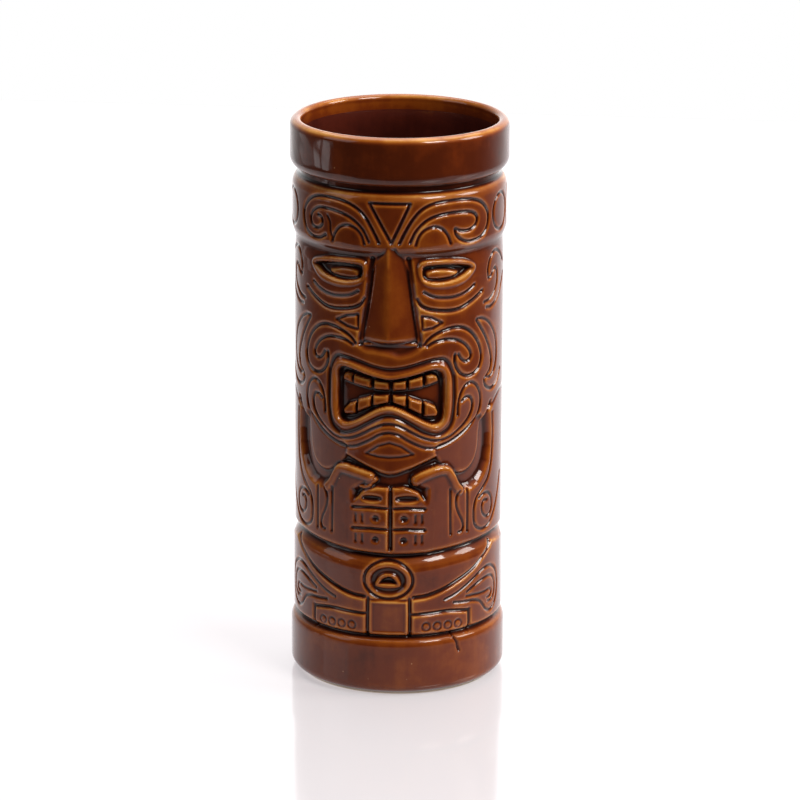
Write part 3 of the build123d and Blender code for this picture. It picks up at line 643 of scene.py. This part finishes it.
def relief_piece(name, mask):
    """The cells of the relief under mask (rows NZ-1, columns NT) as one closed piece."""
    nv = NZ * NT
    i, j = np.nonzero(mask)
    jn = (j + 1) % NT
    vid = lambda a, b: a * NT + b
    outer = np.stack([vid(i, j), vid(i, jn), vid(i + 1, jn), vid(i + 1, j)], 1)
    inner = outer[:, [0, 3, 2, 1]] + nv
    faces, kinds = [outer, inner], [np.zeros(len(outer), int), np.ones(len(inner), int)]
    pad = np.zeros((NZ + 1, NT), bool)
    pad[1:-1] = mask
    below_ = pad[:-2][i, j]
    above_ = pad[2:][i, j]
    right_ = np.roll(mask, -1, 1)[i, j]
    left_ = np.roll(mask, 1, 1)[i, j]
    for free, a, b in ((~below_, (i, jn), (i, j)), (~right_, (i + 1, jn), (i, jn)),
                       (~above_, (i + 1, j), (i + 1, jn)), (~left_, (i, j), (i + 1, j))):
        va, vb = vid(*a)[free], vid(*b)[free]
        faces.append(np.stack([va, vb, vb + nv, va + nv], 1))
        kinds.append(np.full(len(va), 2))
    faces, kinds = np.vstack(faces), np.concatenate(kinds)
    allv = np.concatenate([OUT.reshape(-1, 3), BACK.reshape(-1, 3)])
    alln = np.concatenate([NORM.reshape(-1, 3), RADIAL.reshape(-1, 3)])
    used = np.zeros(2 * nv, bool)
    used[faces.ravel()] = True
    new = np.cumsum(used) - 1
    normals = alln[faces]
    w = kinds == 2
    p = allv[faces[w]]
    n = np.cross(p[:, 1] - p[:, 0], p[:, 2] - p[:, 1])
    n /= np.maximum(np.linalg.norm(n, axis=1, keepdims=True), 1e-9)
    normals[w] = n[:, None, :]
    cutv = np.concatenate([POOL_AND_SHEEN.ravel(), np.full(nv, 0.6)])[used]
    edgev = np.concatenate([EDGE.ravel(), np.zeros(nv)])[used]
    return build(name, allv[used], new[faces], normals, cutv, edgev)


def turned_piece(name, profile, n=288, wobble=None, cutp=None, edgep=None):
    """A closed ring turned from a closed (radius, height) profile, with smooth normals.
    cutp and edgep give the two glaze values along the profile."""
    p = np.array(profile, float)
    m = len(p)
    th = np.arange(n) / n * 2 * math.pi
    R = np.repeat(p[:, 0][:, None], n, 1)
    Z = np.repeat(p[:, 1][:, None], n, 1)
    if wobble is not None:
        dR, dZ_ = wobble(R, Z, th[None, :])
        R, Z = R + dR, Z + dZ_
    P = np.stack([R * np.sin(th), -R * np.cos(th), Z], -1)
    du = (np.roll(P, -1, 1) - np.roll(P, 1, 1))
    dv = (np.roll(P, -1, 0) - np.roll(P, 1, 0))
    N = np.cross(du, dv)
    N /= np.maximum(np.linalg.norm(N, axis=-1, keepdims=True), 1e-12)
    i, j = np.meshgrid(np.arange(m), np.arange(n), indexing="ij")
    i, j = i.ravel(), j.ravel()
    i2, j2 = (i + 1) % m, (j + 1) % n
    F = np.stack([i * n + j, i * n + j2, i2 * n + j2, i2 * n + j], 1)
    Nf = N.reshape(-1, 3)
    cv = np.repeat(np.asarray(cutp, float)[:, None], n, 1).ravel()
    ev = np.repeat(np.asarray(edgep, float)[:, None], n, 1).ravel()
    return build(name, P.reshape(-1, 3), F, Nf[F], cv, ev)


# ---------------------------------------------------------------- materials
def nodes_of(name):
    mat = bpy.data.materials.new(name)
    mat.use_nodes = True
    nt = mat.node_tree
    nt.nodes.clear()
    return mat, nt


class Net:
    def __init__(self, nt):
        self.nt = nt

    def add(self, kind, **sockets):
        n = self.nt.nodes.new(kind)
        for k, v in sockets.items():
            if hasattr(n, k) and not k[0].isupper():
                setattr(n, k, v)
        return n

    def link(self, a, b):
        self.nt.links.new(a, b)

    def math(self, op, a, b=None, c=None, clamp=False):
        n = self.nt.nodes.new("ShaderNodeMath")
        n.operation = op
        n.use_clamp = clamp
        for k, v in enumerate((a, b, c)):
            if v is None:
                continue
            if isinstance(v, (int, float)):
                n.inputs[k].default_value = v
            else:
                self.link(v, n.inputs[k])
        return n.outputs[0]

    def noise(self, coord, scale, detail=2.0, rough=0.5):
        n = self.nt.nodes.new("ShaderNodeTexNoise")
        n.inputs["Scale"].default_value = scale
        n.inputs["Detail"].default_value = detail
        n.inputs["Roughness"].default_value = rough
        self.link(coord, n.inputs["Vector"])
        return n.outputs["Fac"]

    def voronoi(self, coord, scale):
        n = self.nt.nodes.new("ShaderNodeTexVoronoi")
        n.inputs["Scale"].default_value = scale
        self.link(coord, n.inputs["Vector"])
        return n.outputs["Distance"]

    def ramp(self, fac, stops):
        n = self.nt.nodes.new("ShaderNodeValToRGB")
        cr = n.color_ramp
        cr.interpolation = "EASE"
        while len(cr.elements) < len(stops):
            cr.elements.new(0.5)
        for e, (pos, col) in zip(cr.elements, stops):
            e.position = pos
            e.color = (*col, 1)
        self.link(fac, n.inputs[0])
        return n.outputs[0]


def glaze(name, stops, rough=0.06, gain=1.0, wave=0.35, pits=True):
    """Glossy transparent glaze that breaks to honey on crests and pools dark in the cuts; the cut value also brings in
    painted light.
    """
    mat, nt = nodes_of(name)
    q = Net(nt)
    out = q.add("ShaderNodeOutputMaterial")
    bsdf = q.add("ShaderNodeBsdfPrincipled")
    q.link(bsdf.outputs[0], out.inputs[0])
    tc = q.add("ShaderNodeTexCoord").outputs["Object"]
    # the cut value: glaze pooled in the cuts, with painted highlight on up-facing slopes and painted reflection under
    # the brow
    cutn = q.add("ShaderNodeAttribute")
    cutn.attribute_name = "cut"
    edgen = q.add("ShaderNodeAttribute")
    edgen.attribute_name = "edge"
    big = q.noise(tc, 55.0, 3.0, 0.55)
    mid = q.noise(tc, 170.0, 4.0, 0.6)
    fine = q.noise(tc, 900.0, 3.0, 0.6)
    # 0.5 is the plain wall; crests go up and cuts go down, and painted highlight on up-facing slopes goes up too
    t = q.math("MULTIPLY_ADD", cutn.outputs["Fac"], -0.52 * gain, 0.5)
    t = q.math("MULTIPLY_ADD", edgen.outputs["Fac"], 0.34 * gain, t)
    t = q.math("ADD", t, q.math("MULTIPLY_ADD", big, 0.40, -0.20))
    t = q.math("ADD", t, q.math("MULTIPLY_ADD", mid, 0.20, -0.10))
    # the glaze ran down a little before it set
    run = nt.nodes.new("ShaderNodeMapping")
    run.inputs["Scale"].default_value = (1.0, 1.0, 0.16)
    q.link(tc, run.inputs["Vector"])
    t = q.math("ADD", t, q.math("MULTIPLY_ADD", q.noise(run.outputs[0], 210.0, 3.0, 0.6), 0.20, -0.10))
    t = q.math("ADD", t, q.math("MULTIPLY_ADD", fine, 0.05, -0.025), clamp=True)
    col = q.ramp(t, stops)
    if pits:
        # scattered pinholes and specks in the glaze
        v = q.voronoi(tc, 230.0)
        speck = q.math("MULTIPLY", q.math("LESS_THAN", v, 0.055), q.math("GREATER_THAN", mid, 0.56))
        mix = nt.nodes.new("ShaderNodeMix")
        mix.data_type = "RGBA"
        q.link(q.math("MULTIPLY", speck, 0.6), mix.inputs[0])
        q.link(col, mix.inputs[6])
        mix.inputs[7].default_value = (0.42, 0.21, 0.09, 1)
        col = mix.outputs[2]
    q.link(col, bsdf.inputs["Base Color"])
    bsdf.inputs["Specular IOR Level"].default_value = 0.06
    q.link(q.math("MULTIPLY_ADD", mid, 0.10, 0.30), bsdf.inputs["Roughness"])
    bsdf.inputs["Coat Weight"].default_value = 1.0
    bsdf.inputs["Coat Roughness"].default_value = rough
    bsdf.inputs["Coat IOR"].default_value = 1.36
    # slow unevenness of the glaze surface and a trace of orange peel
    h = q.math("MULTIPLY_ADD", q.noise(tc, 120.0, 2.0, 0.5), wave, q.math("MULTIPLY", q.noise(tc, 700.0, 2.0, 0.5), wave * 0.10))
    bump = q.add("ShaderNodeBump")
    bump.inputs["Strength"].default_value = 1.0
    bump.inputs["Distance"].default_value = 0.00022
    q.link(h, bump.inputs["Height"])
    q.link(bump.outputs[0], bsdf.inputs["Normal"])
    q.link(bump.outputs[0], bsdf.inputs["Coat Normal"])
    return mat


AMBER = [(0.0, (0.0160, 0.0022, 0.0008)), (0.20, (0.033, 0.0048, 0.0012)), (0.36, (0.072, 0.0110, 0.0020)),
         (0.50, (0.122, 0.0195, 0.0026)), (0.64, (0.190, 0.0390, 0.0036)), (0.80, (0.300, 0.0800, 0.0085)), (1.0, (0.52, 0.225, 0.046))]
INSIDE = [(0.0, (0.010, 0.0022, 0.0016)), (0.35, (0.034, 0.0055, 0.0036)), (0.55, (0.060, 0.0095, 0.0050)),
          (0.75, (0.17, 0.036, 0.005)), (1.0, (0.36, 0.12, 0.013))]
m_glaze = glaze("amber_glaze", AMBER, wave=0.24)
m_plain = glaze("amber_glaze_band", AMBER, gain=1.0, wave=0.10)
m_inside = glaze("liner_glaze", INSIDE, wave=0.7)


def clay():
    mat, nt = nodes_of("bare_clay")
    q = Net(nt)
    out = q.add("ShaderNodeOutputMaterial")
    bsdf = q.add("ShaderNodeBsdfPrincipled")
    q.link(bsdf.outputs[0], out.inputs[0])
    tc = q.add("ShaderNodeTexCoord").outputs["Object"]
    n1 = q.noise(tc, 120.0, 5.0, 0.6)
    n2 = q.noise(tc, 2200.0, 3.0, 0.6)
    t = q.math("MULTIPLY_ADD", n2, 0.4, q.math("MULTIPLY", n1, 0.6))
    q.link(q.ramp(t, [(0.25, (0.50, 0.40, 0.30)), (0.55, (0.66, 0.56, 0.44)), (0.8, (0.76, 0.68, 0.56))]), bsdf.inputs["Base Color"])
    q.link(q.math("MULTIPLY_ADD", n1, 0.15, 0.75), bsdf.inputs["Roughness"])
    bump = q.add("ShaderNodeBump")
    bump.inputs["Strength"].default_value = 0.6
    bump.inputs["Distance"].default_value = 0.00012
    q.link(t, bump.inputs["Height"])
    q.link(bump.outputs[0], bsdf.inputs["Normal"])
    return mat


m_clay = clay()


def finish_piece(ob, mat, slot, *nodes):
    ob.data.materials.clear()
    ob.data.materials.append(mat)
    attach(ob, "root")
    if nodes:
        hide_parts(*nodes)
    return ob


# ---------------------------------------------------------------- which cell belongs to which element
ci = 0.5 * (ZZ[:-1] + ZZ[1:])
cj = TH + STEP / 2
CJ, CI = np.meshgrid(cj, ci)
label = np.zeros(CI.shape, int)
NAMES = ["", "base_band", "hips", "back", "back_of_head", "face_plate", "forehead_band", "arm_right", "arm_left",
         "chest", "chest_blocks", "leg_right", "leg_left", "belly", "belly_ring", "loin_flap", "foot_right", "foot_left",
         "nose", "eye_right", "eye_left", "mouth_lips", "upper_teeth", "lower_teeth"]
ID = {n: k for k, n in enumerate(NAMES)}


def within(points, closed_spline=True, straight=False):
    line = placed(points) if straight else smooth(placed(points), True)
    return inside(line, CJ * SCALE, CI)


jaw_c = np.interp(cj, TH, jaw[0])[None, :]
waist_c = np.interp(cj, TH, waist[0])[None, :]
front = np.abs(CJ) < 88
label[:] = np.where(front, ID["face_plate"], ID["back_of_head"])
label[CI > Z_BROW - 0.3] = ID["forehead_band"]
low = CI < jaw_c - 0.8
label[low & front & (CJ > 0)] = ID["arm_right"]
label[low & front & (CJ <= 0)] = ID["arm_left"]
label[low & ~front] = ID["back"]
label[low & (np.abs(CJ) < 20.0) & (CI < 72.5)] = ID["chest"]
sel = (np.abs(CJ - 0.8) < 19.4) & (CI < 67.3)
label[low & sel & ((np.abs(CJ - 1.7) > 1.9) & (np.abs(CI - 60.2) > 0.9) & (np.abs(CI - 53.5) > 0.9) & (CI > 47.7))] = ID["chest_blocks"]
lows = CI < waist_c - 2.2
label[lows & front & (CJ > 0)] = ID["leg_right"]
label[lows & front & (CJ <= 0)] = ID["leg_left"]
label[lows & ~front] = ID["hips"]
b = np.interp(np.abs(cj), [0, 13.8, 20, 26, 32, 38, 44, 50, 56, 62, 66, 180], [31.5, 31.5, 31.8, 32.6, 33.8, 35.3, 36.8, 38.6, 41.0, 43.2, 45, 60])[None, :]
label[lows & front & (CI > b)] = ID["belly"]
label[within(ring(0.0, 36.4, 7.7, 6.1, 28))] = ID["belly_ring"]
label[(np.abs(CJ - 0.8) < 11.6) & (CI < 31.0) & (label != ID["belly_ring"])] = ID["loin_flap"]
label[(CJ > 12.4) & (CJ < 48.2) & (CI < 26.1)] = ID["foot_right"]
label[(CJ < -10.8) & (CJ > -45.6) & (CI < 26.1)] = ID["foot_left"]
label[CI < Z_BASE + 0.3] = ID["base_band"]
label[within(NOSE, straight=True) & (CI < Z_BROW - 0.3)] = ID["nose"]
label[within(ER)] = ID["eye_right"]
label[within(EL)] = ID["eye_left"]
lip_out = [(a + (2.6 if a > 0 else -2.6) * (abs(a) > 26), z + (1.6 if z > 95 else -1.4)) for a, z in LIPS]
label[within(lip_out)] = ID["mouth_lips"]
gape = within(GAPE)
mid_line = np.interp(cj, [-28, -22, -12, 0, 12, 22, 28], [94.2, 95.2, 95.6, 95.6, 95.6, 95.2, 94.2])[None, :]
for t in UPPER:
    label[within(t, straight=True)] = ID["upper_teeth"]
for t in LOWER:
    label[within(t, straight=True)] = ID["lower_teeth"]


def clean(mask):
    """Takes out single cells and cells that touch only at a corner."""
    m = mask.copy()
    for _ in range(3):
        n = (np.roll(m, 1, 1).astype(int) + np.roll(m, -1, 1))
        n[1:] += m[:-1]
        n[:-1] += m[1:]
        m = (m & (n >= 2)) | (~m & (n >= 4))
    return m


final = label.copy()
# corners where two cells of a piece touch only diagonally go to the piece beside them
for _ in range(6):
    a, bq = final[:-1, :], final[1:, :]
    ar, br = np.roll(a, -1, 1), np.roll(bq, -1, 1)
    d1 = (a == br) & (a != ar) & (a != bq)
    d2 = (ar == bq) & (ar != a) & (ar != br)
    bad = d1 | d2
    if not bad.any():
        break
    ii, jj = np.nonzero(bad)
    final[ii + 1, (jj + 1) % NT] = final[ii, (jj + 1) % NT]
for k, name in enumerate(NAMES):
    if not k:
        continue
    cells = final == k
    if not cells.any():
        raise SystemExit("no cells for " + name)
    ob = relief_piece(name + "_relief", cells)
    finish_piece(ob, m_glaze, "amber_glaze", name)

# the tube that the relief stands on
def dense(points, gap=0.6):
    out = []
    for (r0, z0), (r1, z1) in zip(points, points[1:] + points[:1]):
        k = max(1, int(math.hypot(r1 - r0, z1 - z0) / gap))
        out += [(r0 + (r1 - r0) * u / k, z0 + (z1 - z0) * u / k) for u in range(k)]
    return out


tube = dense([(29.6, 6.0), (29.6, 160.2), (29.2, 160.2), (29.2, 6.0)], 12.0)
ob = turned_piece("wall_tube", tube, 144, cutp=[0.7] * len(tube), edgep=[0.0] * len(tube))
finish_piece(ob, m_glaze, "amber_glaze", "cup_wall")

# rim band: rounded lip, plain wall, rounded lower edge
def arc(cx, cz, r, a0, a1, n):
    return [(cx + r * math.cos((a0 + (a1 - a0) * k / n) * DEG), cz + r * math.sin((a0 + (a1 - a0) * k / n) * DEG)) for k in range(n + 1)]


prof = [(29.9, 160.0), (30.4, 160.0)]
prof += [(30.6 + 2.8 * math.sin(k * math.pi / 36), 163.7 - 3.7 * math.cos(k * math.pi / 36)) for k in range(19)]
prof += [(33.4, 163.7 + 0.8 * k) for k in range(1, 11)]
prof += arc(31.3, 172.9, 2.1, 0, 90, 14)
prof += arc(31.3, 173.5, 1.5, 90, 180, 12)
prof += [(29.8 - 0.06 * k, 173.5 - 0.9 * k) for k in range(1, 7)]
prof += [(29.25, 167.2), (29.2, 163.5), (29.2, 160.0)]
pz = np.array([p[1] for p in prof])
pr = np.array([p[0] for p in prof])
lip_ = np.exp(-(((pz - 174.5) / 0.9) ** 2))
low_ = np.exp(-(((pz - 160.9) / 0.8) ** 2)) * (pr > 31)
edge_v = 0.65 * lip_ + 0.15 * low_
cut_v = 0.22 - 0.5 * lip_ - 0.1 * low_
inner_side = (pr < 30.1) & (pz < 173.0)
cut_v = np.where(inner_side, np.interp(pz, [160, 167, 171, 173.5], [0.3, 0.2, 0.0, -0.3]), cut_v)
cut_v = np.where((pz < 160.4), 0.5, cut_v)


def rim_wobble(R, Z, th):
    d = 0.06 * np.sin(3 * th + 0.6) + 0.04 * np.sin(7 * th + 2.1) + 0.02 * np.sin(17 * th + Z * 0.5)
    w = np.clip((R - 29.6) / 2.0, 0, 1)
    return -np.abs(d) * w * 0.9, 0.05 * np.sin(2 * th + 1.0) * np.clip((Z - 168) / 6, 0, 1) - 0.05 * np.clip((Z - 168) / 6, 0, 1)


ob = turned_piece("rim_ring", prof, 360, rim_wobble, cut_v, edge_v)
finish_piece(ob, m_plain, "amber_glaze", "rim_band")

# liner: thin glossy coat from just under the lip down to a rounded floor
lin = [(29.3, 170.6), (29.0, 168.5), (28.85, 165.5)] + [(28.8, 160.0 - 6.0 * k) for k in range(24)]
lin += arc(23.8, 11.5, 5.0, 0, -90, 10) + [(18.0, 6.5), (9.0, 6.5), (0.8, 6.5), (0.8, 6.0), (9.0, 6.0), (20.0, 6.0), (29.1, 6.0), (29.2, 7.0)]
lin += [(29.2, 7.0 + 10.0 * k) for k in range(1, 16)] + [(29.2, 166.0), (29.25, 168.0), (29.35, 170.5)]
lin = lin[::-1]
lz = np.array([p[1] for p in lin])
ob = turned_piece("liner", lin, 200, cutp=np.interp(lz, [0, 120, 162, 171], [0.35, 0.3, 0.18, 0.0]), edgep=np.zeros(len(lin)))
finish_piece(ob, m_inside, "liner_glaze", "liner_glaze")

for node in ("foot_ring", "cup_floor"):
    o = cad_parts[node]
    o = bpy.data.objects[o] if isinstance(o, str) else o
    o.data.materials.clear()
    o.data.materials.append(m_clay)

# ---------------------------------------------------------------- floor and light
# a table top whose near edge is just out of the picture
fmesh = bpy.data.meshes.new("floor")
fmesh.from_pydata([(-0.36, -0.20, 0), (0.36, -0.20, 0), (0.36, 0.80, 0), (-0.36, 0.80, 0)], [], [(0, 1, 2, 3)])
floor = bpy.data.objects.new("floor", fmesh)
bpy.context.scene.collection.objects.link(floor)
fm, nt = nodes_of("floor")
q = Net(nt)
out = q.add("ShaderNodeOutputMaterial")
bs = q.add("ShaderNodeBsdfPrincipled")
q.link(bs.outputs[0], out.inputs[0])
bs.inputs["Base Color"].default_value = (0.28, 0.275, 0.28, 1)
bs.inputs["Emission Color"].default_value = (1.0, 0.93, 0.955, 1)
bs.inputs["Emission Strength"].default_value = 0.47
bs.inputs["Roughness"].default_value = 0.10
bs.inputs["Specular IOR Level"].default_value = 0.8
floor.data.materials.append(fm)

world = bpy.data.worlds.new("studio")
bpy.context.scene.world = world
world.use_nodes = True
wt = world.node_tree
wt.nodes.clear()
q = Net(wt)
wo = q.add("ShaderNodeOutputWorld")
tc = q.add("ShaderNodeTexCoord").outputs["Generated"]
sx = q.add("ShaderNodeSeparateXYZ")
q.link(tc, sx.inputs[0])
# bright wall behind and at the sides, a dim room in front
f = q.math("MULTIPLY_ADD", sx.outputs["Y"], 0.5, 0.5, clamp=True)
strength = q.math("MULTIPLY_ADD", q.math("POWER", f, 6.0), 1.7, 0.03)
seen = q.add("ShaderNodeLightPath").outputs["Is Camera Ray"]
mixv = q.math("ADD", q.math("MULTIPLY", strength, q.math("SUBTRACT", 1.0, seen)), seen)
bg = q.add("ShaderNodeBackground")
bg.inputs["Color"].default_value = (1.0, 1.0, 1.0, 1)
q.link(mixv, bg.inputs["Strength"])
q.link(bg.outputs[0], wo.inputs[0])


def soft_box(name, at, aim, w, h, watts, colour=(1, 1, 1), spread=180):
    d = bpy.data.lights.new(name, "AREA")
    d.shape = "RECTANGLE"
    d.size, d.size_y = w, h
    d.energy = watts
    d.color = colour
    d.spread = spread * DEG
    o = bpy.data.objects.new(name, d)
    bpy.context.scene.collection.objects.link(o)
    o.location = at
    v = Vector(aim) - Vector(at)
    o.rotation_euler = v.to_track_quat("-Z", "Y").to_euler()
    return o


soft_box("key", (0.66, -0.55, 0.98), (0, 0, 0.10), 0.40, 0.40, 12.0, (1.0, 0.97, 0.94))
soft_box("fill", (-0.95, -0.45, 0.70), (0, 0, 0.10), 0.7, 0.7, 2.6, (0.97, 0.98, 1.0))
# a low window with a bar across it and a pale wall beyond, on the left
soft_box("window_a", (-0.556, -0.147, 0.038), (0, 0, 0.166), 0.092, 0.022, 0.0115, (1.0, 0.95, 0.96))
soft_box("window_b", (-0.574, -0.027, 0.038), (0, 0, 0.166), 0.092, 0.022, 0.0105, (1.0, 0.95, 0.96))
soft_box("wall", (-0.72, 0.05, 0.003), (0, 0, 0.166), 0.75, 0.022, 0.030, (1.0, 0.95, 0.96))
soft_box("side", (1.15, 0.05, 0.85), (0, 0, 0.09), 0.50, 0.50, 11.0, (1.0, 0.95, 0.90))
soft_box("over", (0.0, 0.45, 1.35), (0, 0.15, 0.0), 1.5, 1.1, 19.0)

bpy.context.scene.view_settings.view_transform = "Standard"
bpy.context.scene.view_settings.look = "None"
